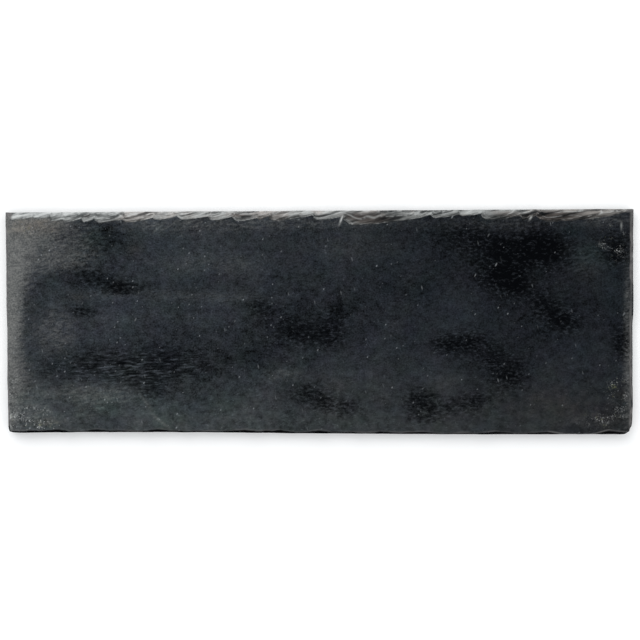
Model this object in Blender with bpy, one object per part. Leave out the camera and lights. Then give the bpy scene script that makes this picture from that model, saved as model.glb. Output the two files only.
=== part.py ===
"""A slate slab: one riven plate of dark slate with hand-dressed edges, lying face up.

The long +Y side is dressed from the face, so it carries a band of overlapping flake scars. The other
three sides are dressed from the back: their face arris is only nibbled, and the heavy scars are below.
Metres, +X along the slab, +Z up, origin under its middle on the surface that it lies on.
"""

import math
import random

import bmesh
import bpy
from mathutils import Matrix, Vector

# Driving dimensions
LENGTH = 0.280
WIDTH = 0.1008
THICKNESS = 0.0060
MM = 0.001

# The plan outline is a little out of square. Each side is given by its two corners and a bow.
LEFT_TOP_X, LEFT_FOOT_X = -LENGTH / 2, -LENGTH / 2 + 1.2 * MM
RIGHT_TOP_X, RIGHT_FOOT_X = LENGTH / 2, LENGTH / 2 - 0.5 * MM
TOP_LEFT_Y, TOP_RIGHT_Y = WIDTH / 2 - 1.7 * MM, WIDTH / 2
FOOT_LEFT_Y, FOOT_RIGHT_Y = -WIDTH / 2 + 0.8 * MM, -WIDTH / 2
CORNER_LOSS = {(-1, 1): 0.8 * MM, (1, 1): 0.4 * MM, (1, -1): 3.0 * MM, (-1, -1): 2.2 * MM}
CORNER_PULL = 0.5
EDGE_WANDER = 0.16 * MM
EDGE_INSET = 0.6
EDGE_WAVES, EDGE_WAVE_SEED = 10, 19
EDGE_WAVE_LENGTHS = (0.008, 0.045)
FOOT_BOW, FOOT_BOW_START = 0.5 * MM, 0.02

# The face: a gentle undulation, and shallow hollows where thinner layers came away
FACE_WAVES, FACE_WAVE_SEED = 9, 7
FACE_WAVE_HEIGHT = 0.10 * MM
FACE_WAVE_LENGTHS = (0.040, 0.110)
HOLLOW_DEPTH = 0.35 * MM
# Each hollow: centre x and y, half length, half width (mm), turn (degrees)
HOLLOWS = (
    (-97, 39, 12, 6, 0),
    (-97, 15, 13, 9, 0),
    (-92, -20, 42, 8, 3),
    (-44, -20, 26, 8, 5),
    (-4, 1, 25, 14, 0),
    (89, 31, 26, 8, 0),
    (84, 18, 9, 8, 0),
    (106, 4, 16, 7, -30),
    (75, -18, 18, 9, -28),
    (52, -38, 14, 6, 0),
    (2, -36, 14, 5, -12),
    (132, 33, 7, 9, 0),
)

# The underside: flat lands on the table plane, and thin layers split off from the rim inwards
# Each split: centre x and y, mean radius (mm), depth (mm)
SPLITS = (
    (-112, 40, 30, 0.50),
    (-60, -58, 34, 0.65),
    (66, 56, 38, 0.55),
    (122, -44, 34, 0.70),
)
SPLIT_POINTS = 26
SPLIT_STRETCH = 1.45
SPLIT_SWELL, SPLIT_SWELL_WAVES, SPLIT_SEED = 0.16, 3, 5

# Grid of the block before it is dressed: cells along X, Y and Z, closer together towards the rim
CELLS_X, CELLS_Y, CELLS_Z = 42, 13, 2
RIM_CROWDING = 0.55
WALL_ROUGHNESS = 0.22 * MM
WALL_WAVES, WALL_WAVE_SEED = 12, 23
WALL_WAVE_LENGTHS = (0.006, 0.030)

# A flake scar is a scoop, blunt at the end where the blow fell and running out thin at the other
SCOOP_SEGMENTS, SCOOP_RINGS = 12, 7
SCOOP_LIFT = 0.35
SCOOP_TAIL_POWER = 1.3
SCOOP_HEAD_SHARE = 0.24
SCOOP_TAIL_SHARE = 1.30

# Scars along the dressed +Y side, as they lie in the photograph: start x, run and reach (mm)
DRESSED_SCARS = (
    (-139.5, 12, 3.3), (-128.7, 8, 3.2), (-120.7, 8, 4.0), (-115.4, 9, 4.4), (-106.5, 6.2, 4.6),
    (-101.2, 13.3, 5.1), (-88.5, 12.4, 4.9), (-75.2, 10.2, 3.8), (-64.3, 14.2, 3.7), (-50.1, 9.8, 4.2),
    (-39.4, 12, 4.5), (-27.9, 4.4, 4.0), (-23.4, 13.8, 4.6), (-9.6, 6.2, 3.2), (-3.4, 12.4, 4.4),
    (9.0, 29.3, 6.6), (41.0, 8, 3.6), (49.0, 12, 3.6), (61.4, 9.8, 3.0), (71.2, 16.9, 4.7),
    (89.0, 6.2, 5.0), (95.2, 29.0, 5.7), (124.0, 14, 2.4),
)
DRESSED_DEPTH = (2.3 * MM, 3.4 * MM)

# Scars placed at random along a rim: side, under or over, pitch, reach and depth ranges (mm)
RANDOM_SCARS = (
    ("top", "over", 7.0, (1.1, 1.9), (1.9, 2.6)),
    ("right", "over", 22.0, (1.5, 1.9), (1.2, 1.9)),
    ("left", "over", 11.0, (0.5, 1.0), (0.5, 0.9)),
    ("foot", "over", 11.0, (0.5, 1.1), (0.9, 1.7)),
    ("foot", "under", 16.0, (2.6, 5.2), (1.4, 2.6)),
    ("left", "under", 14.0, (2.0, 4.0), (1.2, 2.4)),
    ("right", "under", 14.0, (1.8, 3.6), (1.2, 2.4)),
    ("top", "under", 22.0, (0.8, 2.0), (0.5, 1.2)),
)
SCAR_SEED = 41
# Of the pitch: the bare stretch at each end, a scar's run, and of its run the way on to the next scar
BARE_END = 0.3
RUN_SPREAD = (0.6, 1.3)
STEP_SPREAD = (0.75, 1.05)
FLIPPED_SHARE = 0.4

SLATE_COLOUR = (0.030, 0.034, 0.039, 1.0)
SLATE_ROUGHNESS = 0.62
NODE_NAME = "slate_slab"
FLAT_ENOUGH = math.radians(0.2)


def mix(a, b, t):
    return a + (b - a) * t


def clear_scene():
    for obj in list(bpy.data.objects):
        bpy.data.objects.remove(obj, do_unlink=True)


def new_collection(name):
    collection = bpy.data.collections.new(name)
    bpy.context.scene.collection.children.link(collection)
    return collection


def slate_material():
    material = bpy.data.materials.new("slate")
    material.use_nodes = True
    shader = material.node_tree.nodes["Principled BSDF"]
    shader.inputs["Base Color"].default_value = SLATE_COLOUR
    shader.inputs["Roughness"].default_value = SLATE_ROUGHNESS
    shader.inputs["Metallic"].default_value = 0.0
    return material


def wave_set(seed, count, lengths):
    """Plane waves in random directions: (x wave number, y wave number, phase), the same every run."""
    draw = random.Random(seed)
    waves = []
    for _ in range(count):
        turn = draw.uniform(0, math.tau)
        number = math.tau / draw.uniform(*lengths)
        waves.append((number * math.cos(turn), number * math.sin(turn), draw.uniform(0, math.tau)))
    return waves


def wave_height(waves, x, y):
    """The mean of the waves' sines at a point, from -1 to 1."""
    return sum(math.sin(kx * x + ky * y + phase) for kx, ky, phase in waves) / len(waves)


FACE_WAVE_SET = wave_set(FACE_WAVE_SEED, FACE_WAVES, FACE_WAVE_LENGTHS)
EDGE_WAVE_SET = wave_set(EDGE_WAVE_SEED, EDGE_WAVES, EDGE_WAVE_LENGTHS)
WALL_WAVE_SET = wave_set(WALL_WAVE_SEED, WALL_WAVES, WALL_WAVE_LENGTHS)


def side_x(side, y):
    """X of the left or right end at this y, wandering a little."""
    top_x, foot_x = (LEFT_TOP_X, LEFT_FOOT_X) if side == "left" else (RIGHT_TOP_X, RIGHT_FOOT_X)
    share = 0.5 + y / WIDTH
    wander = EDGE_WANDER * (wave_height(EDGE_WAVE_SET, 3 * top_x, y) - EDGE_INSET)
    return mix(foot_x, top_x, share) + math.copysign(1, top_x) * wander


def side_y(side, x):
    """Y of the +Y or -Y side at this x, wandering a little."""
    share = 0.5 + x / LENGTH
    lane = 1 if side == "top" else 2
    wander = EDGE_WANDER * (wave_height(EDGE_WAVE_SET, x, lane) - EDGE_INSET)
    if side == "top":
        return mix(TOP_LEFT_Y, TOP_RIGHT_Y, share) + wander
    bow = FOOT_BOW * math.sin(math.tau * (share - FOOT_BOW_START)) * (1 - share)
    return mix(FOOT_LEFT_Y, FOOT_RIGHT_Y, share) + bow - wander


def crowd(t):
    """A share from 0 to 1 along a side, moved so that grid lines crowd towards both ends."""
    return t - RIM_CROWDING * math.sin(math.tau * t) / math.tau


def plan_point(u, v):
    """Shares u and v across the slab as a point of its plan, inside the four wandering sides."""
    x = mix(-LENGTH / 2, LENGTH / 2, u)
    y = mix(side_y("foot", x), side_y("top", x), v)
    x = mix(side_x("left", y), side_x("right", y), u)
    for (corner_x, corner_y), loss in CORNER_LOSS.items():
        away_x = LENGTH / 2 - corner_x * x
        away_y = WIDTH / 2 - corner_y * y
        pull = CORNER_PULL * loss * math.exp(-(away_x**2 + away_y**2) / loss**2)
        x -= corner_x * pull
        y -= corner_y * pull
    return x, y


def hollow_share(x, y):
    """How far into a hollow a point lies: 0 on the open face, 1 in the middle of a hollow."""
    deepest = 0.0
    for centre_x, centre_y, half_length, half_width, turn in HOLLOWS:
        away_x, away_y = x / MM - centre_x, y / MM - centre_y
        cos, sin = math.cos(math.radians(turn)), math.sin(math.radians(turn))
        along = (away_x * cos + away_y * sin) / half_length
        across = (away_y * cos - away_x * sin) / half_width
        deepest = max(deepest, 1 - along**2 - across**2)
    return deepest


def face_height(x, y):
    """Height of the riven face over the table."""
    wave = FACE_WAVE_HEIGHT * (wave_height(FACE_WAVE_SET, x, y) - 1)
    return THICKNESS + wave - HOLLOW_DEPTH * hollow_share(x, y)


def riven_block():
    """The split plate before its rim is dressed: a subdivided cube moved onto the plan and the face."""
    mesh = bpy.data.meshes.new(NODE_NAME)
    bm = bmesh.new()
    bmesh.ops.create_cube(bm, size=1.0, matrix=Matrix.Translation((0.5, 0.5, 0.5)))
    for axis, cells in ((0, CELLS_X), (1, CELLS_Y), (2, CELLS_Z)):
        along = [e for e in bm.edges if abs(e.verts[0].co[axis] - e.verts[1].co[axis]) > 0.5]
        bmesh.ops.subdivide_edges(bm, edges=along, cuts=cells - 1, use_grid_fill=True)
    for vert in bm.verts:
        u, v, w = vert.co
        x, y = plan_point(crowd(u), crowd(v))
        rise = math.sin(math.pi * w)
        on_end = (u < 1e-6) - (u > 1 - 1e-6)
        on_side = (v < 1e-6) - (v > 1 - 1e-6)
        dent = WALL_ROUGHNESS * rise * (1 + wave_height(WALL_WAVE_SET, x + 2 * w * THICKNESS, y))
        vert.co = (x + on_end * dent, y + on_side * dent, mix(0.0, face_height(x, y), w))
    bmesh.ops.recalc_face_normals(bm, faces=bm.faces)
    bm.to_mesh(mesh)
    bm.free()
    return bpy.data.objects.new(NODE_NAME, mesh)


def scoop_mesh(name, run, reach, depth):
    """A flake scar's cutter: a sphere drawn out along +X, with its widest section near the blunt head.

    It bites reach along -Y and depth along -Z from its local origin, which lies on the rim's arris.
    """
    height = depth / (1 - SCOOP_LIFT)
    widen = 1 / math.sqrt(1 - SCOOP_LIFT**2)
    mesh = bpy.data.meshes.new(name)
    bm = bmesh.new()
    bmesh.ops.create_uvsphere(bm, u_segments=SCOOP_SEGMENTS, v_segments=SCOOP_RINGS, radius=1.0)
    for vert in bm.verts:
        x, y, z = vert.co
        if x < 0:
            along = x * SCOOP_HEAD_SHARE * run
        else:
            along = x ** (2 / SCOOP_TAIL_POWER) * SCOOP_TAIL_SHARE * run
        vert.co = (along * widen, y * reach * widen, (z + SCOOP_LIFT) * height)
    bm.to_mesh(mesh)
    bm.free()
    return mesh


def rim_place(side, along, level, under, flip):
    """The matrix that puts a scoop on a rim: +X along the side, -Y into the slab, and -Z into the stone."""
    if side in ("top", "foot"):
        place = Matrix.Translation((along, side_y(side, along), level))
        turn = 0.0 if side == "top" else math.pi
    else:
        place = Matrix.Translation((side_x(side, along), along, level))
        turn = math.pi / 2 if side == "left" else -math.pi / 2
    mirror = Matrix.Diagonal((-1.0 if flip else 1.0, 1.0, -1.0 if under else 1.0, 1.0))
    return place @ Matrix.Rotation(turn, 4, "Z") @ mirror


def add_scoop(cutters, side, along, run, reach, depth, under=False, flip=False):
    """One cutter on a rim. A mirrored one is turned back to face outwards."""
    name = f"scar_{side}_{len(cutters.objects):03d}"
    mesh = scoop_mesh(name, run, reach, depth)
    x, y = (along, side_y(side, along)) if side in ("top", "foot") else (side_x(side, along), along)
    level = 0.0 if under else face_height(x, y)
    place = rim_place(side, along, level, under, flip)
    mesh.transform(place)
    if place.determinant() < 0:
        mesh.flip_normals()
    cutter = bpy.data.objects.new(name, mesh)
    cutter.hide_render = True
    cutter.display_type = "WIRE"
    cutters.objects.link(cutter)


def dress_rims(cutters):
    """All flake scars: those of the +Y side where the photograph has them, the rest at random."""
    draw = random.Random(SCAR_SEED)
    for start, run, reach in DRESSED_SCARS:
        head = start * MM + SCOOP_HEAD_SHARE * run * MM
        add_scoop(cutters, "top", head, run * MM, reach * MM, draw.uniform(*DRESSED_DEPTH))
    for side, place, pitch, reaches, depths in RANDOM_SCARS:
        half = LENGTH / 2 if side in ("top", "foot") else WIDTH / 2
        bare = BARE_END * pitch * MM
        at = -half + bare
        while at < half - bare:
            run = pitch * draw.uniform(*RUN_SPREAD)
            reach, depth = draw.uniform(*reaches), draw.uniform(*depths)
            flip = draw.random() < FLIPPED_SHARE
            add_scoop(cutters, side, at, run * MM, reach * MM, depth * MM, place == "under", flip)
            at += run * draw.uniform(*STEP_SPREAD) * MM


def split_layers(cutters):
    """Shallow plates with a wavy outline, which take a thin layer off the underside."""
    draw = random.Random(SPLIT_SEED)
    for number, (centre_x, centre_y, radius, depth) in enumerate(SPLITS):
        phases = [draw.uniform(0, math.tau) for _ in range(SPLIT_SWELL_WAVES)]
        points = []
        for k in range(SPLIT_POINTS):
            turn = math.tau * k / SPLIT_POINTS
            waves = (math.sin((n + 2) * turn + phase) / (n + 1) for n, phase in enumerate(phases))
            swell = 1 + SPLIT_SWELL * sum(waves)
            x = centre_x + SPLIT_STRETCH * radius * swell * math.cos(turn)
            y = centre_y + radius * swell * math.sin(turn)
            points.append(Vector((x * MM, y * MM, -THICKNESS)))
        mesh = bpy.data.meshes.new(f"split_{number}")
        bm = bmesh.new()
        outline = bm.faces.new([bm.verts.new(p) for p in points])
        raised = bmesh.ops.extrude_face_region(bm, geom=[outline])
        lifted = [g for g in raised["geom"] if isinstance(g, bmesh.types.BMVert)]
        bmesh.ops.translate(bm, verts=lifted, vec=(0, 0, THICKNESS + depth * MM))
        bmesh.ops.recalc_face_normals(bm, faces=bm.faces)
        bm.to_mesh(mesh)
        bm.free()
        cutter = bpy.data.objects.new(mesh.name, mesh)
        cutter.hide_render = True
        cutter.display_type = "WIRE"
        cutters.objects.link(cutter)


def build():
    clear_scene()
    stone = new_collection("slate_slab")
    cutters = new_collection("cutters")
    slab = riven_block()
    slab.data.materials.append(slate_material())
    stone.objects.link(slab)
    dress_rims(cutters)
    split_layers(cutters)
    dressing = slab.modifiers.new("dressing", "BOOLEAN")
    dressing.operation = "DIFFERENCE"
    dressing.operand_type = "COLLECTION"
    dressing.collection = cutters
    dressing.solver = "EXACT"
    lands = slab.modifiers.new("flat_lands", "DECIMATE")
    lands.decimate_type = "DISSOLVE"
    lands.angle_limit = FLAT_ENOUGH


build()
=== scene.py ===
"""Looks of a slate slab: a riven plate of dark slate with chipped edges, on a pale floor."""

import math
import random
from collections import namedtuple

import bpy
import numpy as np
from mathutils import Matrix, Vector


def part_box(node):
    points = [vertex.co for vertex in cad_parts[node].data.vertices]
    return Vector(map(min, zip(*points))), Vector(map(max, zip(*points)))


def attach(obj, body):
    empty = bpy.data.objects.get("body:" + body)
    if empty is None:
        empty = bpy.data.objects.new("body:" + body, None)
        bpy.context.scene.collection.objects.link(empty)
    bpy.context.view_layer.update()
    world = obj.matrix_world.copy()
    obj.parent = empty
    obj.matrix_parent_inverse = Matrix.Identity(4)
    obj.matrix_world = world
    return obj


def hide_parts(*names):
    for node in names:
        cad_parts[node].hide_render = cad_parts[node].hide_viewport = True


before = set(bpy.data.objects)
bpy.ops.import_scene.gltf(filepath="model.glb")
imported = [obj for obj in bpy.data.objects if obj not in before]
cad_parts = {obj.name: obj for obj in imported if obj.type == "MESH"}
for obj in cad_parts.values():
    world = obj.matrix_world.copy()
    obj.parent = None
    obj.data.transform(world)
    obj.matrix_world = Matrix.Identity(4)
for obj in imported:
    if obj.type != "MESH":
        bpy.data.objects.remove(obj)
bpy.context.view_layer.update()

# Camera. The photograph looks straight down on the face through a long lens: 640 pixels across span
# 284.9 mm of the slab's face, whose middle lies 0.4 pixels left of and 1.5 below the picture's.
PICTURE, PIXEL = 640, 0.4452e-3
LEFT_OF_MIDDLE, BELOW_MIDDLE = 0.4, 1.5
FACE_LEVEL = 0.006
LENS, SENSOR = 100.0, 36.0
NEAREST_SEEN = 0.05

camera_data = bpy.data.cameras.new("camera")
camera_data.lens = LENS
camera_data.sensor_width = SENSOR
camera_data.clip_start = NEAREST_SEEN
camera = bpy.data.objects.new("camera", camera_data)
bpy.context.scene.collection.objects.link(camera)
camera_height = FACE_LEVEL + PICTURE * PIXEL * LENS / SENSOR
camera.location = (LEFT_OF_MIDDLE * PIXEL, BELOW_MIDDLE * PIXEL, camera_height)
bpy.context.scene.camera = camera

# The slab: one plate of slate, split along its cleavage and dressed by hand with a hammer. The long
# +Y side is struck from the face and carries a band of scars. The other sides are struck from the
# back, so their larger scars are below.
MM = 0.001
LENGTH, WIDTH, THICKNESS = 0.280, 0.1008, 0.0060
LEFT_TOP_X, LEFT_FOOT_X = -LENGTH / 2, -LENGTH / 2 + 1.2 * MM
RIGHT_TOP_X, RIGHT_FOOT_X = LENGTH / 2, LENGTH / 2 - 0.5 * MM
TOP_LEFT_Y, TOP_RIGHT_Y = WIDTH / 2 - 1.7 * MM, WIDTH / 2
FOOT_LEFT_Y, FOOT_RIGHT_Y = -WIDTH / 2 + 0.8 * MM, -WIDTH / 2
# How much is rubbed off each corner, by the signs of its x and y
CORNER_LOSS = {(-1, 1): 0.8 * MM, (1, 1): 0.4 * MM, (1, -1): 3.0 * MM, (-1, -1): 2.2 * MM}
# The sides wander about lines that lie 0.6 of the wander further in, and the -Y side also bows
EDGE_SEED, EDGE_WAVES, EDGE_WAVE_LENGTHS = 19, 10, (0.008, 0.045)
EDGE_WANDER, EDGE_INSET = 0.16 * MM, 0.6
FOOT_BOW, FOOT_BOW_SHIFT = 0.5 * MM, 0.02
FACE_SEED, FACE_WAVES, FACE_WAVE_LENGTHS = 7, 9, (0.040, 0.110)
FACE_WAVE_HEIGHT = 0.10 * MM
HOLLOW_DEPTH = 0.35 * MM
LATTICE = 64


def wave_set(seed, count, lengths):
    """Plane waves in random directions, each as (x wave number, y wave number, phase)."""
    draw = random.Random(seed)
    waves = []
    for _ in range(count):
        turn = draw.uniform(0, math.tau)
        number = math.tau / draw.uniform(*lengths)
        waves.append((number * math.cos(turn), number * math.sin(turn), draw.uniform(0, math.tau)))
    return waves


def wave_height(waves, x, y):
    """The mean of the waves' sines at each point, from -1 to 1."""
    return sum(np.sin(kx * x + ky * y + phase) for kx, ky, phase in waves) / len(waves)


def patchy(x, y, cell, seed):
    """Random heights from -1 to 1 on a square lattice of this cell, joined by smooth steps.

    The lattice starts again after LATTICE cells.
    """
    table = np.random.default_rng(seed).uniform(-1, 1, (LATTICE, LATTICE))
    column, row = x / cell, y / cell
    i, j = np.floor(column).astype(int), np.floor(row).astype(int)
    s, t = column - i, row - j
    s, t = s * s * (3 - 2 * s), t * t * (3 - 2 * t)
    i, j, next_i, next_j = i % LATTICE, j % LATTICE, (i + 1) % LATTICE, (j + 1) % LATTICE
    low = table[i, j] * (1 - s) + table[next_i, j] * s
    high = table[i, next_j] * (1 - s) + table[next_i, next_j] * s
    return low * (1 - t) + high * t


def smooth(value, low, high):
    """A smooth step from 0 at low to 1 at high."""
    t = np.clip((value - low) / (high - low), 0, 1)
    return t * t * (3 - 2 * t)


def in_ellipses(x, y, ellipses):
    """The greatest of 1 - (along / half length)^2 - (across / half width)^2 over the ellipses.

    Their places and sizes are in mm, and their turns in degrees.
    """
    best = np.full(x.shape, -np.inf)
    for centre_x, centre_y, half_length, half_width, turn in ellipses:
        away_x, away_y = x / MM - centre_x, y / MM - centre_y
        cos, sin = math.cos(math.radians(turn)), math.sin(math.radians(turn))
        along = (away_x * cos + away_y * sin) / half_length
        across = (away_y * cos - away_x * sin) / half_width
        best = np.maximum(best, 1 - along**2 - across**2)
    return best


EDGE_WAVE_SET = wave_set(EDGE_SEED, EDGE_WAVES, EDGE_WAVE_LENGTHS)
FACE_WAVE_SET = wave_set(FACE_SEED, FACE_WAVES, FACE_WAVE_LENGTHS)

# Hollows where thin layers came away: centre x, y, half length, half width (mm), turn (degrees)
HOLLOWS = (
    (-97, 39, 12, 6, 0), (-97, 15, 13, 9, 0), (-92, -20, 42, 8, 3), (-44, -20, 26, 8, 5),
    (-4, 1, 25, 14, 0), (89, 31, 26, 8, 0), (84, 18, 9, 8, 0), (106, 4, 16, 7, -30),
    (75, -18, 18, 9, -28), (52, -38, 14, 6, 0), (2, -36, 14, 5, -12), (132, 33, 7, 9, 0),
)


def side_x(side, y):
    """X of the left or right end at this y: a straight line that wanders a little."""
    top_x, foot_x = (LEFT_TOP_X, LEFT_FOOT_X) if side == "left" else (RIGHT_TOP_X, RIGHT_FOOT_X)
    wander = EDGE_WANDER * (wave_height(EDGE_WAVE_SET, 3 * top_x, y) - EDGE_INSET)
    return foot_x + (top_x - foot_x) * (0.5 + y / WIDTH) + math.copysign(1, top_x) * wander


def side_y(side, x):
    """Y of the top (+Y) or foot (-Y) side at this x: a line that wanders, the foot's also bowed."""
    share = 0.5 + x / LENGTH
    if side == "top":
        wander = EDGE_WANDER * (wave_height(EDGE_WAVE_SET, x, 1) - EDGE_INSET)
        return TOP_LEFT_Y + (TOP_RIGHT_Y - TOP_LEFT_Y) * share + wander
    bow = FOOT_BOW * np.sin(math.tau * (share - FOOT_BOW_SHIFT)) * (1 - share)
    wander = EDGE_WANDER * (wave_height(EDGE_WAVE_SET, x, 2) - EDGE_INSET)
    return FOOT_LEFT_Y + (FOOT_RIGHT_Y - FOOT_LEFT_Y) * share + bow - wander


def plan_point(u, v):
    """Points of the plan at shares u and v of the way between its sides, with rubbed corners.

    Each corner draws the points in by half its loss times exp(-(distance / loss)^2).
    """
    x = -LENGTH / 2 + LENGTH * u
    y = side_y("foot", x) + (side_y("top", x) - side_y("foot", x)) * v
    x = side_x("left", y) + (side_x("right", y) - side_x("left", y)) * u
    for (corner_x, corner_y), loss in CORNER_LOSS.items():
        away_x = LENGTH / 2 - corner_x * x
        away_y = WIDTH / 2 - corner_y * y
        pull = 0.5 * loss * np.exp(-(away_x**2 + away_y**2) / loss**2)
        x = x - corner_x * pull
        y = y - corner_y * pull
    return x, y


def face_height(x, y):
    """Height of the riven face: long low waves, less the hollows."""
    wave = FACE_WAVE_HEIGHT * (wave_height(FACE_WAVE_SET, x, y) - 1)
    return THICKNESS + wave - HOLLOW_DEPTH * np.clip(in_ellipses(x, y, HOLLOWS), 0, 1)


# A flake scar is a scoop, blunt at the end where the blow fell and running out thin at the other.
# It is the lower part of a rounded hollow, cut off at this share of the hollow's depth.
SCOOP_LIFT = 0.35
SCOOP_TAIL_POWER = 1.3
SCOOP_HEAD_SHARE = 0.24
SCOOP_TAIL_SHARE = 1.30
# Those along the +Y side lie as in the photograph: start x, run and reach (mm)
DRESSED_SCARS = (
    (-139.5, 12, 3.3), (-128.7, 8, 3.2), (-120.7, 8, 4.0), (-115.4, 9, 4.4), (-106.5, 6.2, 4.6),
    (-101.2, 13.3, 5.1), (-88.5, 12.4, 4.9), (-75.2, 10.2, 3.8), (-64.3, 14.2, 3.7),
    (-50.1, 9.8, 4.2), (-39.4, 12, 4.5), (-27.9, 4.4, 4.0), (-23.4, 13.8, 4.6), (-9.6, 6.2, 3.2),
    (-3.4, 12.4, 4.4), (9.0, 29.3, 6.6), (41.0, 8, 3.6), (49.0, 12, 3.6), (61.4, 9.8, 3.0),
    (71.2, 16.9, 4.7), (89.0, 6.2, 5.0), (95.2, 29.0, 5.7), (124.0, 14, 2.4),
)
DRESSED_DEPTH = (2.3 * MM, 3.4 * MM)
# The rest fall at random: side, over or under, pitch, reach and depth ranges (mm). A run is 0.6 to
# 1.3 pitches long, the next scar lies 0.75 to 1.05 runs further on, four in ten are flipped, and a
# side's row of them ends 0.3 of a pitch from its corners.
RANDOM_SCARS = (
    ("top", "over", 7.0, (1.1, 1.9), (1.9, 2.6)),
    ("right", "over", 22.0, (1.5, 1.9), (1.2, 1.9)),
    ("left", "over", 11.0, (0.5, 1.0), (0.5, 0.9)),
    ("foot", "over", 11.0, (0.5, 1.1), (0.9, 1.7)),
    ("foot", "under", 16.0, (2.6, 5.2), (1.4, 2.6)),
    ("left", "under", 14.0, (2.0, 4.0), (1.2, 2.4)),
    ("right", "under", 14.0, (1.8, 3.6), (1.2, 2.4)),
    ("top", "under", 22.0, (0.8, 2.0), (0.5, 1.2)),
)
SCAR_SEED = 41
RUN_RANGE, ADVANCE_RANGE, FLIPPED_SHARE, END_GAP = (0.6, 1.3), (0.75, 1.05), 0.4, 0.3
Scar = namedtuple("Scar", "side along run reach depth under flip")


def list_scars():
    """Every scar, in metres: those of the photograph along the +Y side, then the random ones."""
    draw = random.Random(SCAR_SEED)
    scars = []
    for start, run, reach in DRESSED_SCARS:
        head = (start + SCOOP_HEAD_SHARE * run) * MM
        depth = draw.uniform(*DRESSED_DEPTH)
        scars.append(Scar("top", head, run * MM, reach * MM, depth, under=False, flip=False))
    for side, place, pitch, reaches, depths in RANDOM_SCARS:
        half = LENGTH / 2 if side in ("top", "foot") else WIDTH / 2
        end_gap = END_GAP * pitch * MM
        at = -half + end_gap
        while at < half - end_gap:
            run = pitch * draw.uniform(*RUN_RANGE)
            reach, depth = draw.uniform(*reaches), draw.uniform(*depths)
            flip = draw.random() < FLIPPED_SHARE
            scars.append(Scar(side, at, run * MM, reach * MM, depth * MM, place == "under", flip))
            at += run * draw.uniform(*ADVANCE_RANGE) * MM
    return scars


SCARS = list_scars()


def scoop_floor(x, y, scar):
    """How far a scoop's floor lies below the arris at each point, negative outside it.

    With s = (run position / length)^power and t = (reach position / half width)^2, the depth is
    height * (sqrt(1 - s - t) - lift), and the height makes it the scar's depth at the arris.
    """
    side, along, run, reach, depth, _, flip = scar
    if side in ("top", "foot"):
        turn = 1.0 if side == "top" else -1.0
        run_place = (x - along) * turn
        inward = (side_y(side, along) - y) * turn
    else:
        turn = 1.0 if side == "left" else -1.0
        run_place = (y - along) * turn
        inward = (x - side_x(side, along)) * turn
    if flip:
        run_place = -run_place
    widen = 1 / math.sqrt(1 - SCOOP_LIFT**2)
    head = np.abs(run_place / (SCOOP_HEAD_SHARE * run * widen)) ** 2
    tail = np.abs(run_place / (SCOOP_TAIL_SHARE * run * widen)) ** SCOOP_TAIL_POWER
    s = np.where(run_place < 0, head, tail)
    t = (inward / (reach * widen)) ** 2
    return depth / (1 - SCOOP_LIFT) * (np.sqrt(np.clip(1 - s - t, 0, 1)) - SCOOP_LIFT)


# The scars' floors are drawn this part of the way towards steps, the broken edges of layers
LAYER, LAYER_PULL = 1.1 * MM, 0.6


def layered(depth, x, y):
    """A depth drawn towards steps one layer high, whose levels wander along the rim.

    Returns it and how near each point is to a step's broken edge.
    """
    level = depth / LAYER + 0.8 * patchy(x, 3 * y, 10 * MM, 3) + 0.2 * patchy(x, 2 * y, 3.0 * MM, 4)
    whole = np.floor(level)
    part = level - whole
    stepped = whole + smooth(part, 0.55, 1.0)
    drawn = depth + (stepped - level) * LAYER * LAYER_PULL
    return np.maximum(drawn, 0), smooth(part, 0.46, 0.58) * (1 - smooth(part, 0.60, 0.74))


# Relief finer than the solid's: how far the scars' outlines fray along and across the slab, the
# roughness of their floors, the grain of the face and the ripples in its hollows
FRAY_ALONG, FRAY_ACROSS, FLOOR_ROUGHNESS = 0.16 * MM, 0.10 * MM, 0.02 * MM
FACE_GRAIN, HOLLOW_RIPPLE = 0.025 * MM, 0.05 * MM
# The lip round a scar shows pale at about this depth (mm); its spread is in mm squared
LIP_DEPTH, LIP_SPREAD = 0.22, 0.02


def top_surface(x, y):
    """The face cut down to the deepest scoop over each point, with layered floors.

    The points are first moved by a fine random wander, which frays the scars' outlines.
    Returns the height, the scoops' depth, and how near each point is to a lip or a layer's edge.
    """
    coarse_x, fine_x = patchy(x, y, 3.1 * MM, 11), patchy(x, y, 1.1 * MM, 12)
    coarse_y, fine_y = patchy(x, y, 3.7 * MM, 13), patchy(x, y, 1.3 * MM, 14)
    fray_x = x + FRAY_ALONG * coarse_x + FRAY_ALONG / 2 * fine_x
    fray_y = y + FRAY_ACROSS * coarse_y + FRAY_ACROSS / 2 * fine_y
    depth = np.zeros(x.shape)
    for scar in SCARS:
        if not scar.under:
            depth = np.maximum(depth, scoop_floor(fray_x, fray_y, scar))
    cut, step = layered(depth, x, y)
    cut = np.where(depth > 0, cut + FLOOR_ROUGHNESS * patchy(x, y, 1.4 * MM, 15), 0)
    grain = FACE_GRAIN * (patchy(x, y, 3.1 * MM, 21) + 0.6 * patchy(x, y, 1.5 * MM, 22) - 1.6)
    hollow = np.clip(in_ellipses(x, y, HOLLOWS), 0, 1)
    ripple = HOLLOW_RIPPLE * hollow * (patchy(x, 1.6 * y, 4.0 * MM, 23) - 1)
    lip = np.exp(-((depth / MM - LIP_DEPTH) ** 2) / LIP_SPREAD)
    step = np.where(depth > 0, np.maximum(step, lip), 0)
    return face_height(x, y) + grain + ripple - np.maximum(cut, 0), depth, step


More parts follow.
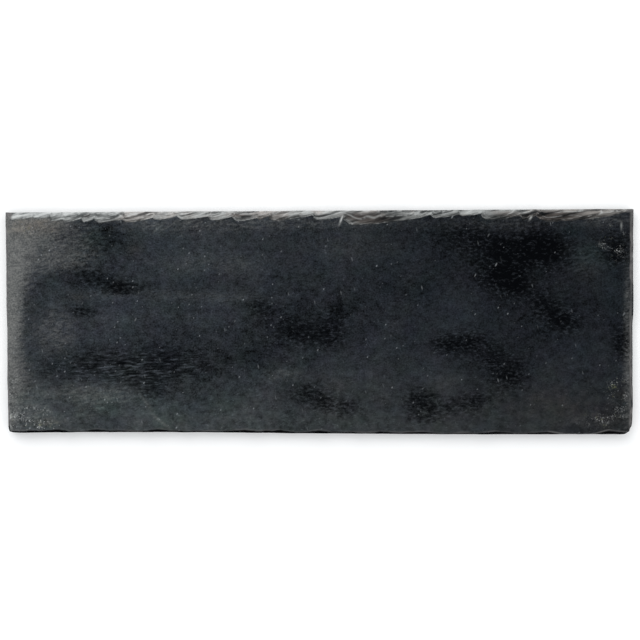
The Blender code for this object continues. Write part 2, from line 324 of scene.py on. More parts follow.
# Thin layers split off the underside: centre x and y, radius across the slab and depth (mm). They
# are 1.45 times as long as wide, with a wavy outline, and slope off over 0.2 mm each way.
SPLITS = ((-112, 40, 30, 0.50), (-60, -58, 34, 0.65), (66, 56, 38, 0.55), (122, -44, 34, 0.70))
SPLIT_SEED, SPLIT_STRETCH, SPLIT_SWELL, SPLIT_SLOPE = 5, 1.45, 0.16, 0.2


def under_surface(x, y):
    """The underside: flat lands, thin layers split off in wavy ellipses, and the rim's scoops.

    An ellipse's radius swells and shrinks by three sines of the angle round its centre.
    """
    draw = random.Random(SPLIT_SEED)
    height = np.zeros(x.shape)
    for centre_x, centre_y, radius, depth in SPLITS:
        phases = [draw.uniform(0, math.tau) for _ in range(3)]
        turn = np.arctan2(y / MM - centre_y, (x / MM - centre_x) / SPLIT_STRETCH)
        waves = [SPLIT_SWELL / (n + 1) * np.sin((n + 2) * turn + p) for n, p in enumerate(phases)]
        swell = 1 + sum(waves)
        away = np.hypot((x / MM - centre_x) / SPLIT_STRETCH, y / MM - centre_y)
        gone = smooth(radius * swell - away, -SPLIT_SLOPE, SPLIT_SLOPE)
        height = np.maximum(height, depth * MM * gone)
    for scar in SCARS:
        if scar.under:
            height = np.maximum(height, scoop_floor(x, y, scar))
    return height


# Cells along and across the top, steps down the wall, and how much coarser the underside is
COLUMNS, ROWS, WALL_ROWS, COARSER = 600, 111, 12, 3
# How the cells crowd towards the two ends, the -Y side and the +Y side: gain and spread
END_CROWD, FOOT_CROWD, TOP_CROWD = (2.0, 2.5 * MM), (4.0, 2.5 * MM), (7.0, 4.0 * MM)
CROWD_STEPS = 4001


def crowded(count, size, crowd_low, crowd_high):
    """Shares from 0 to 1 whose density near either end is 1 + gain exp(-distance / spread)."""
    place = np.linspace(0, 1, CROWD_STEPS)
    density = np.ones_like(place)
    for (gain, spread), away in ((crowd_low, place * size), (crowd_high, (1 - place) * size)):
        density += gain * np.exp(-away / spread)
    total = np.concatenate(([0], np.cumsum((density[1:] + density[:-1]) / 2)))
    return np.interp(np.linspace(0, total[-1], count + 1), total, place)


def picture_place(x, y):
    """The photograph's column and row over each point: the picture's middle plus so many pixels."""
    return PICTURE / 2 - LEFT_OF_MIDDLE + x / PIXEL, PICTURE / 2 + BELOW_MIDDLE - y / PIXEL


# The breadth of the bevel's painted shade, how far inside it the pale line lies, and how broad
# that is (mm). Then the photograph's columns where the bevel broadens or narrows, over how many
# columns and by how much (mm), and the column from which on the line is stronger.
BEVEL_BREADTH, LINE_INSIDE, LINE_BREADTH = 0.74, 0.28, 0.30
BEVEL_CHANGES = ((614, 15, 0.9), (578, 20, -1.1))
STRONG_LINE_FROM = 548


def under_line(x, y):
    """The -Y arris: how far each point is in its bevel's painted shade, and how near its pale line.

    The bevel is about 0.7 mm wide, more or less by long random waves, widest at the right corner
    and gone for a stretch before it, where the arris is pale instead. The line lies just inside it.
    """
    column, _ = picture_place(x, y)
    away = (y - side_y("foot", x)) / MM
    long_wave, short_wave = patchy(x, 0 * y, 9 * MM, 41), patchy(x, 0 * y, 3 * MM, 42)
    broad = BEVEL_BREADTH + 0.45 * long_wave + 0.25 * short_wave
    for middle, reach, change in BEVEL_CHANGES:
        broad = broad + change * np.exp(-(((column - middle) / reach) ** 4))
    line = np.exp(-(((away - broad - LINE_INSIDE) / LINE_BREADTH) ** 2))
    strength = 0.25 + 0.5 * smooth(patchy(x, 0 * y, 7 * MM, 43), -0.2, 0.7)
    strength = strength + 0.5 * (column > STRONG_LINE_FROM)
    return smooth(broad - away, -0.1, 0.15), line * strength


# The painted shade along the right end: its strength, and how far outside the mean edge it starts
# and is full. The pale strip inside it: how far in, how wide each way, and its strength. Lengths in
# mm.
END_SHADE, END_SHADE_FADE = 0.8, (-0.50, -0.20)
STRIP_INSIDE, STRIP_HALF_WIDTH, STRIP_STRENGTH = 1.05, 0.55, 0.58
# The scars' pale rim, which is painted light, reaches 4.3 mm from the +Y side at the left, and
# 1.5 mm less right of x -28 mm
RIM_START, RIM_REACH, RIM_LOSS, RIM_LOSS_FADE = 1.0, 4.3, 1.5, (-98, -28)
# At this depth (mm) a scar shows fresh stone in full
CHIPPED_DEPTH = 0.45


def top_masks(x, y, depth, step):
    """What the material reads at each point of the top, by name, each from 0 to 1.

    Shade is the painted shade of the -Y bevel and of the right end's line, and arris the pale line
    and strip beside them. Rim is 1 near the +Y side and falls smoothly to 0 at its reach; it brings
    painted light to the scars. Chipped rises with a scoop's depth, and ledge marks lips and the
    edges of layers.
    """
    bevel, line = under_line(x, y)
    from_end = (side_x("right", y) - x) / MM
    end_shade = END_SHADE * smooth(-from_end, *END_SHADE_FADE) * (0.7 + 0.3 * patchy(x, y, 9 * MM, 45))
    strip_place = STRIP_INSIDE + 0.25 * patchy(0 * x, y, 12 * MM, 46)
    strip = np.exp(-(((from_end - strip_place) / STRIP_HALF_WIDTH) ** 4))
    strip = strip * (STRIP_STRENGTH + 0.25 * patchy(x, y, 5 * MM, 47))
    from_top = (side_y("top", x) - y) / MM + 0.5 * patchy(x, 3 * y, 6 * MM, 48)
    rim_reach = RIM_REACH - RIM_LOSS * smooth(x / MM, *RIM_LOSS_FADE)
    return {
        "shade": np.maximum(bevel, end_shade),
        "arris": np.maximum(line, strip),
        "rim": 1 - smooth(from_top, RIM_START, rim_reach),
        "chipped": smooth(depth / MM, 0.0, CHIPPED_DEPTH),
        "ledge": step,
    }


def quads_of(index):
    """The four corners of every cell of a grid of point numbers, anticlockwise from above."""
    corners = [index[:-1, :-1], index[1:, :-1], index[1:, 1:], index[:-1, 1:]]
    return np.stack(corners, -1).reshape(-1, 4)


def rim_of(index):
    """A grid's rim, once round it, anticlockwise from above."""
    return np.concatenate([index[:-1, 0], index[-1, :-1], index[:0:-1, -1], index[0, :0:-1]])


# How far roughness and the edges of thin layers push the wall in, each twice this at the most
WALL_ROUGHNESS, WALL_LAYERS = 0.30 * MM, 0.10 * MM


def wall_rings(rim):
    """Rings of points between the top's rim and the underside's, straight below it.

    They are pushed inwards by roughness and by the edges of thin layers, most at half height.
    """
    around = np.concatenate(([0], np.cumsum(np.linalg.norm(np.diff(rim[:, :2], axis=0), axis=1))))
    ahead = np.roll(rim, -1, axis=0)[:, :2] - np.roll(rim, 1, axis=0)[:, :2]
    inward = np.stack([-ahead[:, 1], ahead[:, 0]], -1) / np.linalg.norm(ahead, axis=1)[:, None]
    foot = under_surface(rim[:, 0], rim[:, 1])
    rings = []
    for k in range(1, WALL_ROWS):
        share = k / WALL_ROWS
        height = rim[:, 2] + (foot - rim[:, 2]) * share
        rough = WALL_ROUGHNESS * (1 + patchy(around, height, 4 * MM, 31))
        layers = WALL_LAYERS * (1 + patchy(around * 0.25, height, 0.45 * MM, 32))
        push = (rough + layers) * math.sin(math.pi * share)
        rings.append(np.column_stack([rim[:, :2] + inward * push[:, None], height]))
    return rings


def slab_mesh(name):
    """The slab as one closed surface: a fine top sheet, a rough wall and a coarser underside.

    Top and underside are height fields over the same plan grid. The wall's last ring is joined to
    the underside's rim, which has every third of its points. The underside has the face's marks,
    mirrored from end to end.
    """
    u = crowded(COLUMNS, LENGTH, END_CROWD, END_CROWD)
    v = crowded(ROWS, WIDTH, FOOT_CROWD, TOP_CROWD)
    x, y = plan_point(*np.meshgrid(u, v, indexing="ij"))
    z, depth, step = top_surface(x, y)
    top = np.stack([x, y, z], axis=-1).reshape(-1, 3)
    index = np.arange(len(top)).reshape(x.shape)
    ring = rim_of(index)
    walls = wall_rings(top[ring])
    wall_count = len(walls) * len(ring)
    rings = [ring] + [len(top) + k * len(ring) + np.arange(len(ring)) for k in range(len(walls))]
    faces = quads_of(index).tolist()
    for upper, lower in zip(rings[:-1], rings[1:]):
        faces += np.stack([upper, lower, np.roll(lower, -1), np.roll(upper, -1)], -1).tolist()

    under_x, under_y = x[::COARSER, ::COARSER], y[::COARSER, ::COARSER]
    under = np.stack([under_x, under_y, under_surface(under_x, under_y)], axis=-1).reshape(-1, 3)
    index = len(top) + wall_count + np.arange(len(under)).reshape(under_x.shape)
    faces += quads_of(index)[:, ::-1].tolist()
    first, second, third = rings[-1].reshape(-1, COARSER).T
    coarse = rim_of(index)
    fourth, coarse_next = np.roll(first, -1), np.roll(coarse, -1)
    for corners in (
        (first, coarse, second), (second, coarse, coarse_next),
        (second, coarse_next, third), (third, coarse_next, fourth),
    ):
        faces += np.stack(corners, -1).tolist()

    low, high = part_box("slate_slab")
    points = np.clip(np.concatenate([top] + walls + [under]), np.array(low), np.array(high))
    mesh = bpy.data.meshes.new(name)
    mesh.from_pydata(points.tolist(), [], faces)
    mesh.validate()
    mesh.shade_smooth()

    number = np.arange(len(points))
    on_wall = (number >= len(top)) & (number < len(top) + wall_count)
    below = number >= len(top) + wall_count
    values = {}
    for label, grid in top_masks(x, y, depth, step).items():
        values[label] = np.concatenate([grid.ravel(), np.zeros(wall_count + len(under))])
    values["chipped"][on_wall] = 1
    values["wall"] = 1.0 * on_wall
    mark_x, mark_y = np.where(below, -points[:, 0], points[:, 0]), points[:, 1]
    for label, marks, spread in MARKS:
        values[label] = soft_marks(mark_x, mark_y, marks, spread)
    for label, numbers in values.items():
        attribute = mesh.attributes.new(label, "FLOAT", "POINT")
        attribute.data.foreach_set("value", numbers.astype(np.float32))
    return mesh


# The face's markings, soft-edged: middle, half length and half width in the photograph's pixels,
# turn in degrees and strength. First the dark films, mostly in the hollows.
DARK_MARKS = (
    (106, 240, 21, 13, 0, 0.40), (88, 277, 21, 11, 0, 0.43), (118, 287, 17, 9, 0, 0.53),
    (83, 311, 15, 8, 0, 0.50), (237, 280, 11, 9, 0, 0.30), (260, 306, 16, 12, 35, 0.44),
    (287, 327, 18, 12, 20, 0.46), (337, 309, 11, 17, 0, 0.34), (313, 333, 26, 13, 0, 0.50),
    (330, 339, 18, 15, 0, 0.36), (44, 373, 22, 11, 0, 0.18), (85, 362, 32, 12, 0, 0.38),
    (124, 366, 38, 16, 0, 0.42), (166, 363, 24, 16, 0, 0.47), (148, 383, 22, 11, 0, 0.46),
    (222, 366, 24, 12, 0, 0.07), (140, 289, 26, 7, 0, 0.32), (250, 355, 28, 11, 0, 0.18),
    (155, 396, 13, 10, 0, 0.30), (310, 394, 21, 13, 0, 0.40), (330, 406, 23, 9, 15, 0.42),
    (351, 406, 13, 8, 0, 0.34), (421, 401, 17, 15, 0, 0.57), (449, 406, 21, 8, 0, 0.35),
    (475, 401, 15, 11, -20, 0.46), (449, 345, 21, 11, 0, 0.58), (472, 342, 18, 11, 0, 0.50),
    (495, 360, 15, 11, 0, 0.43), (511, 375, 18, 15, 0, 0.60), (511, 254, 23, 18, 0, 0.68),
    (542, 249, 23, 14, 0, 1.00), (503, 277, 15, 11, 0, 1.00), (516, 285, 10, 8, 0, 0.90),
    (485, 244, 21, 10, 0, 0.34), (465, 234, 26, 10, 0, 0.25), (534, 298, 15, 10, 30, 0.22),
    (552, 311, 23, 13, 25, 0.50), (565, 324, 15, 9, 0, 0.48), (616, 243, 15, 13, 0, 0.48),
    (617, 256, 12, 9, 0, 0.55), (622, 342, 10, 18, 0, 0.60), (423, 288, 13, 8, 0, 0.13),
    (405, 232, 60, 12, 0, 0.12), (428, 418, 17, 8, 0, 0.30), (366, 219, 20, 7, 0, 0.20),
    (93, 406, 46, 7, 0, 0.15), (470, 262, 120, 40, 0, 0.22), (150, 365, 130, 22, 0, 0.17),
)
# Pale haze where the face is rubbed, at the left end, at the corners and along the right arris
PALE_MARKS = (
    (16, 262, 17, 38, 0, 0.70), (13, 319, 9, 31, 0, 0.60), (26, 231, 32, 19, 0, 0.61),
    (70, 246, 40, 20, 0, 0.30), (55, 262, 36, 13, 0, 0.33), (14, 375, 17, 20, 0, 0.45),
    (54, 332, 24, 26, 0, 0.30), (200, 232, 60, 22, 0, 0.08), (98, 295, 23, 5, 0, 0.08),
    (29, 410, 22, 20, 0, 0.25), (58, 419, 22, 8, 0, 0.14), (88, 411, 18, 12, 0, 0.18),
    (88, 393, 48, 11, 0, 0.34), (114, 401, 41, 8, 0, 0.12), (34, 221, 34, 7, 0, 0.35),
    (34, 219, 32, 5, 0, 0.35), (175, 223, 150, 10, 0, 0.22), (300, 221, 60, 9, 0, 0.12),
    (440, 223, 110, 9, 0, 0.14), (525, 225, 50, 8, 0, 0.10), (232, 417, 62, 13, 0, 0.10),
    (284, 375, 26, 8, 0, 0.22), (385, 417, 26, 12, 0, 0.03), (449, 381, 19, 9, 0, 0.09),
    (628, 355, 5, 93, 0, 0.42), (596, 421, 38, 8, 0, 0.20), (606, 219, 30, 8, 0, 0.22),
    (585, 264, 20, 26, 0, 0.14), (191, 319, 62, 15, 0, 0.11), (4, 322, 14, 150, 0, 0.95),
    (180, 421, 150, 12, 0, 0.05), (190, 296, 120, 7, 2, 0.16), (220, 265, 60, 14, 0, 0.17),
    (338, 247, 52, 15, 0, 0.12),
)
# A brown or olive tinge
BROWN_MARKS = (
    (565, 405, 60, 20, 0, 0.40), (119, 285, 13, 6, 0, 0.60), (36, 226, 40, 12, 0, 0.45),
    (77, 298, 15, 5, 0, 0.50), (552, 250, 18, 9, 0, 0.8), (134, 249, 10, 10, 0, 0.40),
    (46, 422, 21, 6, 0, 0.50), (619, 394, 8, 8, 0, 0.40),
)
# A bluish green tinge
GREEN_MARKS = (
    (103, 238, 18, 12, 0, 0.6), (572, 232, 12, 6, 0, 0.6), (590, 252, 24, 13, 0, 0.7),
    (500, 262, 22, 14, 0, 0.5), (150, 405, 90, 14, 0, 0.3), (612, 290, 12, 30, 0, 0.4),
)
# White bruises at the blunt ends of the two deepest scars, a white tick near the right end, and
# faint scratches near the left end
NICK_MARKS = (
    (341, 220, 4.4, 0.8, -70, 0.85), (531, 217.5, 3.0, 0.8, -60, 0.40),
    (621.5, 226, 3.5, 0.8, 90, 0.32), (147, 404, 9, 1.1, 52, 0.08), (160, 421, 10, 1.1, 38, 0.11),
    (157, 229, 6, 1.0, -42, 0.06),
)
# Darker pockets within the scars, and a slight shading of the pale rim between them
POCKET_MARKS = (
    (368, 218, 28, 6.5, 4, 0.85), (550, 216, 28, 6.5, 3, 0.92), (237, 215, 10, 3, 0, 0.6),
    (592, 214, 42, 6, 0, 0.42), (86, 216, 6, 3, 0, 0.6), (506, 214, 22, 5, 8, 0.5),
    (285, 213, 50, 6, 0, 0.36), (215, 213, 36, 6, 0, 0.28),
)
# Crumbs of loose pale stone and the coarser grain: thick in the corners and along the left end
CRUMB_MARKS = (
    (28, 419, 24, 12, 0, 1.0), (15, 384, 8, 14, 0, 0.25), (614, 243, 16, 20, 0, 0.5),
    (619, 392, 12, 20, 0, 0.6), (30, 232, 30, 18, 0, 0.4), (600, 420, 24, 10, 0, 0.4),
    (34, 427, 30, 5, 0, 0.9), (12, 402, 6, 26, 0, 0.7),
)
# Where the dark films run in long streaks
STREAK_MARKS = (
    (130, 368, 105, 26, 0, 1.0), (240, 360, 70, 18, 0, 0.7), (312, 322, 56, 26, 0, 0.35),
)
# Each set's name on the mesh and how far its marks are spread; dusk is the films' wide fringe
MARKS = (
    ("dark", DARK_MARKS, 1.0), ("dusk", DARK_MARKS, 1.55), ("nick", NICK_MARKS, 1.0),
    ("pale", PALE_MARKS, 1.0), ("brown", BROWN_MARKS, 1.0), ("green", GREEN_MARKS, 1.0),
    ("pocket", POCKET_MARKS, 1.0), ("crumbs", CRUMB_MARKS, 1.0), ("streaky", STREAK_MARKS, 1.0),
)


def soft_marks(x, y, marks, spread):
    """How marked each point is: 1 - product of (1 - strength exp(-r^2.2)) over the turned ellipses.

    Spread widens every ellipse.
    """
    column, row = picture_place(x, y)
    clear = np.ones(x.shape)
    for middle_x, middle_y, half_length, half_width, turn, strength in marks:
        away_x, away_y = column - middle_x, middle_y - row
        cos, sin = math.cos(math.radians(turn)), math.sin(math.radians(-turn))
        along = (away_x * cos + away_y * sin) / (half_length * spread)
        across = (away_y * cos - away_x * sin) / (half_width * spread)
        clear = clear * (1 - strength * np.exp(-((along**2 + across**2) ** 1.1)))
    return 1 - clear


class Value:
    """A shader value: one output socket, which takes + - * with numbers and with other values."""

    def __init__(self, tree, socket=None):
        self.tree = tree
        self.socket = socket

    def node(self, kind, settings, inputs, output=0):
        """Adds a node of this type, sets it, fills or links its inputs, and gives one output."""
        node = self.tree.nodes.new(kind)
        for key, setting in settings.items():
            setattr(node, key, setting)
        for key, value in inputs.items():
            if isinstance(value, Value):
                self.tree.links.new(value.socket, node.inputs[key])
            else:
                node.inputs[key].default_value = value
        return Value(self.tree, node.outputs[output])

    def math(self, operation, *others):
        """This value and the others through a Math node."""
        inputs = dict(enumerate((self,) + others))
        return self.node("ShaderNodeMath", {"operation": operation}, inputs)

    def __add__(self, other):
        return self.math("ADD", other)

    def __mul__(self, other):
        return self.math("MULTIPLY", other)

    def __sub__(self, other):
        return self.math("SUBTRACT", other)

    def __rsub__(self, other):
        return (self * -1.0) + other

    __radd__ = __add__
    __rmul__ = __mul__

    def ramp(self, low, high):
        """A smooth step from 0 at low to 1 at high, or down where low is the greater."""
        settings = {"interpolation_type": "SMOOTHSTEP"}
        return self.node("ShaderNodeMapRange", settings, {0: self, 1: low, 2: high, 3: 0.0, 4: 1.0})

    def near(self, middle, reach):
        """1 where this value is at the middle, falling smoothly to 0 at the reach from it."""
        return (self - middle).math("ABSOLUTE").ramp(reach, 0.0)

    def attribute(self, label):
        """The numbers stored on the mesh's points under this name."""
        return self.node("ShaderNodeAttribute", {"attribute_name": label}, {}, "Fac")

    def part(self, axis):
        """One of the coordinates: X, Y or Z."""
        return self.node("ShaderNodeSeparateXYZ", {}, {0: self}, axis)

    def channel(self, name):
        """One part of a colour: Red, Green or Blue."""
        return self.node("ShaderNodeSeparateColor", {}, {0: self}, name)

    def stretched(self, scale, slope=0.0):
        """Coordinates scaled by three factors, along axes turned about Z by this many degrees."""
        turned = self.node("ShaderNodeMapping", {}, {0: self, 2: (0, 0, math.radians(-slope))})
        return turned.node("ShaderNodeMapping", {}, {0: turned, 3: scale})

    def noise(self, scale, detail=3.0, roughness=0.55, distortion=0.0, output=0):
        """Noise of these coordinates, about 0.5, with features 1 / scale across."""
        inputs = {"Vector": self, "Scale": scale, "Detail": detail, "Roughness": roughness}
        inputs["Distortion"] = distortion
        return self.node("ShaderNodeTexNoise", {}, inputs, output)

    def cells(self, scale, output="Distance"):
        """Cells of these coordinates: distance to the nearest point, or each cell's own colour."""
        return self.node("ShaderNodeTexVoronoi", {}, {"Vector": self, "Scale": scale}, output)

    def paint(self, below, above):
        """The first colour where this value is 0, and the second where it is 1."""
        return self.node("ShaderNodeMix", {"data_type": "RGBA"}, {0: self, 6: below, 7: above}, 2)

    def shade(self, gain):
        """This colour times a value."""
        return self.node("ShaderNodeVectorMath", {"operation": "SCALE"}, {0: self, "Scale": gain})

    def plus(self, parts):
        """This colour with three numbers added."""
        return self.node("ShaderNodeVectorMath", {"operation": "ADD"}, {0: self, 1: parts})

    def tinted(self, tint):
        """This colour times another, or times three factors."""
        return self.node("ShaderNodeVectorMath", {"operation": "MULTIPLY"}, {0: self, 1: tint})


def colour(red, green, blue):
    """A colour given as the screen shows it, 0 to 255, turned to scene light."""
    parts = [c / 255 for c in (red, green, blue)]
    light = [c / 12.92 if c <= 0.04045 else ((c + 0.055) / 1.055) ** 2.4 for c in parts]
    return (*light, 1.0)


# The slate's colours. Two under one name are the darkest and the palest of that stone.
FACE_LEFT, FACE_RIGHT = colour(40, 44, 48), colour(26, 29, 33)
FOOT_LEFT, FOOT_RIGHT = colour(60, 64, 65), colour(37, 39, 40)
HAZE = colour(78, 80, 80), colour(125, 125, 122)
# The second is a painted highlight for the ripples' crests
FILM, CREST_HIGHLIGHT = colour(2, 3, 5), colour(84, 89, 96)
SPECK_GREY, SPECK_STRAW = colour(158, 162, 165), colour(148, 146, 124)
TICK, NIB = colour(150, 153, 155), colour(132, 136, 138)
GAP, CRUMB_GREY, CRUMB_OLIVE = colour(34, 36, 36), colour(172, 174, 172), colour(154, 157, 108)
# The scars' colours are fresh stone with painted light, paler than the stone alone
FRESH_AND_LIT_SCAR_LEFT = colour(74, 76, 76), colour(184, 186, 184)
FRESH_AND_LIT_SCAR_RIGHT = colour(34, 36, 37), colour(138, 140, 138)
POCKET = colour(22, 24, 26), colour(104, 98, 94)
LEDGE = colour(192, 194, 192)
CHIPPED_END = colour(78, 77, 78), colour(122, 119, 118)
# Painted shade: the scars along the -Y side, darker than fresh stone
SHADED_FOOT_SCARS = colour(10, 11, 13), colour(66, 68, 70)
WALL = colour(42, 45, 47), colour(122, 125, 123)
# Painted shade: the wall of the -Y side, darker than the rest of the wall
SHADED_FOOT_WALL = colour(28, 30, 32), colour(98, 100, 99)
# The last is painted shade: the near black of the -Y bevel and of the right end's line
ARRIS, BRUISED, BEVEL_SHADE = colour(94, 93, 92), colour(226, 228, 224), colour(3, 3, 4)
# Factors of red, green and blue: the least drift, and the brown, green and ruddy tinges
LEAST_DRIFT, BROWN_TINGE = (0.84, 0.84, 0.84), (1.20, 1.0, 0.84)
GREEN_TINGE, RUDDY_TINGE = (0.80, 1.06, 1.0), (1.07, 0.99, 0.96)
# Where a change along x or y starts and ends, in metres: the face darker to the right and paler to
# the -Y side, the fresh stone of the two ends, and the painted shade of the -Y side's scars and
# wall
DARKER, PALER = (-0.12, 0.13), (-0.012, -0.044)
RIGHT_END, LEFT_END, FOOT_SHADE = (0.1362, 0.1376), (-0.1368, -0.1380), (-0.0475, -0.0445)
# How many cells of specks, ticks and nibs there are in a metre
SPECK_CELLS, TICK_CELLS, NIB_CELLS = 600.0, 330.0, 480.0


def slate_material():
    """Dark films, pale haze and crumbs over mottled grey, and fresh layered stone in the scars."""
    material = bpy.data.materials.new("riven slate")
    material.use_nodes = True
    tree = material.node_tree
    shader = tree.nodes["Principled BSDF"]
    where = Value(tree).node("ShaderNodeTexCoord", {}, {}, "Object")
    lengthwise, crosswise = where.part("X"), where.part("Y")
    labels = ("chipped", "ledge", "rim", "shade", "arris", "wall")
    chipped, ledge, rim, shade, arris, wall = map(where.attribute, labels)
    labels = ("dark", "dusk", "streaky", "pale", "brown", "green", "crumbs", "pocket", "nick")
    dark, dusk, streaky, pale, brown, green, crumbs, pocket, nick = map(where.attribute, labels)

    # Broad clouding, mottling 1 to 3 mm across, the grain, ripples that lie along the slab, and
    # thin wisps and strokes where a stretched noise is near its middle
    cloud = where.noise(26.0, 3.0, 0.55)
    mottle = where.stretched((0.85, 1, 1)).noise(330.0, 4.0, 0.62)
    fine = where.stretched((0.7, 1, 1), slope=8).noise(620.0, 2.0, 0.6, 0.4)
    grain = where.noise(1400.0, 2.0, 0.6)
    scales = where.stretched((0.55, 1.0, 1)).noise(1000.0, 3.0, 0.65, 0.3)
    streaks = where.stretched((0.20, 1.0, 1), slope=2).noise(1050.0, 3.0, 0.65, 0.3)
    hatch = where.stretched((0.35, 1.0, 1), slope=11).noise(850.0, 3.0, 0.65)
    ripple = streaky * streaks + (1 - streaky) * scales
    wisp = where.stretched((0.45, 1.3, 1), slope=4).noise(150.0, 4.0, 0.6, 1.2).near(0.5, 0.045)
    stroke = where.stretched((0.45, 1.2, 1), slope=12).noise(520.0, 2.0, 0.55, 1.6).near(0.5, 0.030)
    stroke = stroke * where.noise(300.0, 2.0).ramp(0.44, 0.60)

    # The split face: darker towards the right, a little paler along the -Y side
    rightward = lengthwise.ramp(*DARKER)
    low = crosswise.ramp(*PALER)
    face = rightward.paint(FACE_LEFT, FACE_RIGHT)
    face = (low * 0.8).paint(face, rightward.paint(FOOT_LEFT, FOOT_RIGHT))
    uneven = cloud * 1.6 + mottle * 1.9 + fine * 1.0 + grain * (2.4 - low * 1.5)
    face = face.shade(uneven - 2.48 + low * 0.81 - dusk * 0.45 + wisp * 0.13 + stroke * 0.9)

    # Its colour drifts a little, bluish here and greenish or brownish there
    drift = where.noise(95.0, 4.0, 0.6, output="Color")
    face = face.tinted(drift.shade(0.32).plus(LEAST_DRIFT))

    # Pale rubbed haze
    hazy = pale * 1.2 + (cloud - 0.5) * 0.4 + (hatch - 0.5) * 1.4 * pale.ramp(0.0, 0.3)
    hazy_stone = (mottle * 0.35 + grain * 0.65).ramp(0.30, 0.70).paint(*HAZE)
    face = (hazy.ramp(0.0, 1.2) * 0.9).paint(face, hazy_stone)

    # Brownish and greenish tinges
    tinge = (brown * 1.2 + (mottle - 0.5) * 0.9).ramp(0.1, 1.0)
    face = (tinge * 0.8).paint(face, face.tinted(BROWN_TINGE))
    face = green.paint(face, face.tinted(GREEN_TINGE))

    # Dark films, torn by the ripples, with painted shade in the ripples' hollows and painted
    # highlights on their crests
    thick = dark * (1.4 - streaky * 0.5)
    torn_and_shaded = (ripple - 0.5) * (2.5 + streaky * 1.5) * dusk.ramp(0.05, 0.5)
    film = (thick + dusk * 0.18 + torn_and_shaded).ramp(0.04, 1.25)
    face = (film * 0.97).paint(face, FILM)
    crest_highlight = ripple.ramp(0.46, 0.33) * dusk.ramp(0.18, 0.65) * (1 - dark * 0.6)
    face = (crest_highlight * (0.20 + streaky * 0.5)).paint(face, CREST_HIGHLIGHT)

    # Pale specks of all sizes and strengths everywhere, rarer ticks and nibs, and at the corners
    # crumbs with dark gaps between them
    leaning = where.stretched((1, 0.62, 1), slope=-35)
    draw = leaning.cells(SPECK_CELLS, "Color")
    size = draw.channel("Green") * 0.20 + 0.08
    often = draw.channel("Red") + crumbs * 0.2 + pale * 0.15 - rightward * 0.08 - low * 0.03
    speck = leaning.cells(SPECK_CELLS).ramp(size, 0.02) * often.ramp(0.60, 1.08)
    speck_stone = draw.channel("Blue").ramp(0.80, 0.90).paint(SPECK_GREY, SPECK_STRAW)
    face = (speck * (grain * 1.1 + 0.05)).paint(face, speck_stone)
    tilted = where.stretched((1, 0.34, 1), slope=-28)
    tick = tilted.cells(TICK_CELLS).ramp(0.15, 0.05)
    tick = tick * tilted.cells(TICK_CELLS, "Color").channel("Red").ramp(0.94, 0.995)
    face = (tick * 0.5).paint(face, TICK)
    upright = where.stretched((1, 0.30, 1), slope=14)
    nib = upright.cells(NIB_CELLS).ramp(0.20, 0.04)
    nib = nib * upright.cells(NIB_CELLS, "Color").channel("Red").ramp(0.80, 1.0)
    face = (nib * grain * 0.75).paint(face, NIB)
    gaps = where.noise(620.0, 3.0, 0.7).ramp(0.50, 0.34) * crumbs.ramp(0.1, 0.7)
    face = (gaps * 0.6).paint(face, GAP)
    flecks = where.noise(1600.0, 3.0, 0.7) + (where.noise(240.0, 2.0) - 0.5) * 0.55
    crumb = (flecks + crumbs * 0.05).ramp(0.60, 0.78) * crumbs.ramp(0.05, 0.6)
    crumb_stone = (mottle + brown * 0.16).ramp(0.56, 0.66).paint(CRUMB_GREY, CRUMB_OLIVE)
    face = (crumb * 0.82).paint(face, crumb_stone)

    # Fresh stone in the scars, its paleness partly painted light: paler at the rim and greyer
    # inwards as painted light, with long smooth feathers, ruddy patches, dark pockets and the pale
    # broken edges of layers; painted shade along the -Y side
    bruise = where.noise(420.0, 3.0, 0.6)
    feather = where.stretched((0.13, 1.0, 0.7), slope=13).noise(640.0, 3.0, 0.55)
    fresh = (bruise * 0.25 + feather + 0.02).ramp(0.46, 0.84)
    fresh_and_lit_left = fresh.paint(*FRESH_AND_LIT_SCAR_LEFT)
    fresh_and_lit_right = fresh.paint(*FRESH_AND_LIT_SCAR_RIGHT)
    fresh_stone_light_and_shade = rightward.paint(fresh_and_lit_left, fresh_and_lit_right)
    ruddy = fresh_stone_light_and_shade.tinted(RUDDY_TINGE)
    fresh_stone_light_and_shade = where.noise(50.0).ramp(0.46, 0.6).paint(fresh_stone_light_and_shade, ruddy)
    pocket_stone = fresh.paint(*POCKET)
    sunk = (pocket * 1.1 + (bruise - 0.5) * 0.8).ramp(0.15, 0.85)
    fresh_stone_light_and_shade = sunk.paint(fresh_stone_light_and_shade, pocket_stone)
    # Painted light: the scars brighter at the +Y rim and dimmer inwards
    fresh_stone_light_and_shade = fresh_stone_light_and_shade.shade(rim * 0.72 + 0.56)
    edge = (feather + bruise).ramp(0.78, 1.12) * (rim * 0.3 + 0.42) - rightward * 0.14
    fresh_stone_light_and_shade = (ledge * edge).paint(fresh_stone_light_and_shade, LEDGE)
    at_end = (lengthwise.ramp(*RIGHT_END) + lengthwise.ramp(*LEFT_END)) * 0.85
    end_stone = mottle.ramp(0.3, 0.7).paint(*CHIPPED_END)
    fresh_stone_light_and_shade = at_end.paint(fresh_stone_light_and_shade, end_stone)
    # Painted shade over the scars of the -Y side
    clear_of_foot_shade = (crosswise + (mottle - 0.5) * 0.01).ramp(*FOOT_SHADE)
    fresh_stone_light_and_shade = clear_of_foot_shade.paint(fresh.paint(*SHADED_FOOT_SCARS), fresh_stone_light_and_shade)

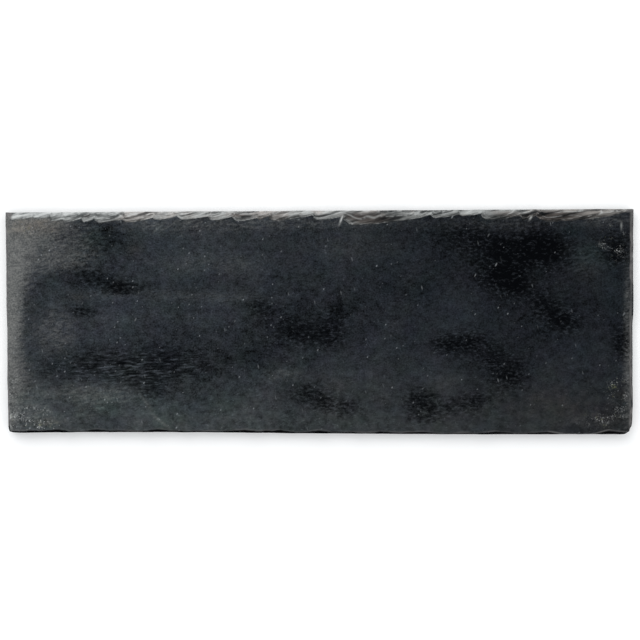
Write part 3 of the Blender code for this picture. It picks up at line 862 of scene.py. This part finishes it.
    # The sides: broken edges of thin beds, which run level round the slab, with painted shade on
    # the -Y side
    beds = where.stretched((0.16, 0.16, 3.6)).noise(900.0, 4.0, 0.62)
    broken = (beds * 0.75 + bruise * 0.25).ramp(0.36, 0.66)
    side_stone = broken.paint(*WALL)
    side_stone = clear_of_foot_shade.paint(broken.paint(*SHADED_FOOT_WALL), side_stone)
    fresh_stone_light_and_shade = wall.paint(fresh_stone_light_and_shade, side_stone)

    # The face and the fresh stone together, then the lines along the arrises: pale lines, and
    # near-black painted shade
    scarred = (chipped + (bruise - 0.5) * 0.5).ramp(0.12, 0.88)
    stone = scarred.paint(face, fresh_stone_light_and_shade)
    stone = (arris * (0.55 + grain * 0.4)).paint(stone, ARRIS)
    stone = (nick * (bruise * 1.6)).paint(stone, BRUISED)
    # Painted shade, near black, over the -Y bevel and along the right end
    stone = shade.paint(stone, BEVEL_SHADE)

    roughness = 0.64 + (mottle - 0.5) * 0.15 - film * 0.06 + scarred * 0.12
    relief = mottle * 0.35 + grain * 0.2 + film * ripple * 0.7
    relief = relief + scarred * (feather + bruise) * 0.3 + wall * beds * 0.6
    bump_inputs = {"Strength": 0.75, "Distance": 0.0004, "Height": relief}
    bump = relief.node("ShaderNodeBump", {}, bump_inputs)
    tree.links.new(stone.socket, shader.inputs["Base Color"])
    tree.links.new(roughness.socket, shader.inputs["Roughness"])
    tree.links.new(bump.socket, shader.inputs["Normal"])
    shader.inputs["IOR"].default_value = 1.38
    shader.inputs["Specular IOR Level"].default_value = 0.03
    return material


slab = bpy.data.objects.new("riven_slab", slab_mesh("riven_slab"))
bpy.context.scene.collection.objects.link(slab)
slab.data.materials.append(slate_material())
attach(slab, "root")
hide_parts("slate_slab")

# The floor and the studio light: a plain pale ground, a broad lamp beyond the slab's +Y side and a
# little to the left, a weaker one from the other corner, and an even surround.
FLOOR_SIZE, FLOOR_DROP = 6.0, 0.0001
GROUND_COLOUR, GROUND_ROUGHNESS, GROUND_GLOW = (0.92, 0.92, 0.91, 1), 0.9, 0.12
SURROUND_COLOUR, SURROUND_STRENGTH = (0.95, 0.97, 1.0, 1), 0.83
# Name, place and side (m), and power (W)
LAMPS = (
    ("key", (-0.45, 1.1, 1.2), 1.5, 12.0),
    ("fill", (0.9, -0.5, 1.4), 1.5, 3.0),
)
floor_mesh = bpy.data.meshes.new("floor")
half = FLOOR_SIZE / 2
floor_corners = [(-half, -half, 0), (half, -half, 0), (half, half, 0), (-half, half, 0)]
floor_mesh.from_pydata(floor_corners, [], [(0, 1, 2, 3)])
floor = bpy.data.objects.new("floor", floor_mesh)
floor.location.z = -FLOOR_DROP
bpy.context.scene.collection.objects.link(floor)
ground = bpy.data.materials.new("pale ground")
ground.use_nodes = True
sockets = ground.node_tree.nodes["Principled BSDF"].inputs
sockets["Base Color"].default_value = GROUND_COLOUR
sockets["Roughness"].default_value = GROUND_ROUGHNESS
sockets["Emission Color"].default_value = (1, 1, 1, 1)
sockets["Emission Strength"].default_value = GROUND_GLOW
floor_mesh.materials.append(ground)

for label, place, size, power in LAMPS:
    lamp_data = bpy.data.lights.new(label, "AREA")
    lamp_data.size = size
    lamp_data.energy = power
    lamp = bpy.data.objects.new(label, lamp_data)
    bpy.context.scene.collection.objects.link(lamp)
    lamp.location = place
    lamp.rotation_euler = (-Vector(place)).to_track_quat("-Z", "Y").to_euler()

world = bpy.data.worlds.new("surround")
world.use_nodes = True
world.node_tree.nodes["Background"].inputs["Color"].default_value = SURROUND_COLOUR
world.node_tree.nodes["Background"].inputs["Strength"].default_value = SURROUND_STRENGTH
bpy.context.scene.world = world
bpy.context.scene.view_settings.view_transform = "Standard"
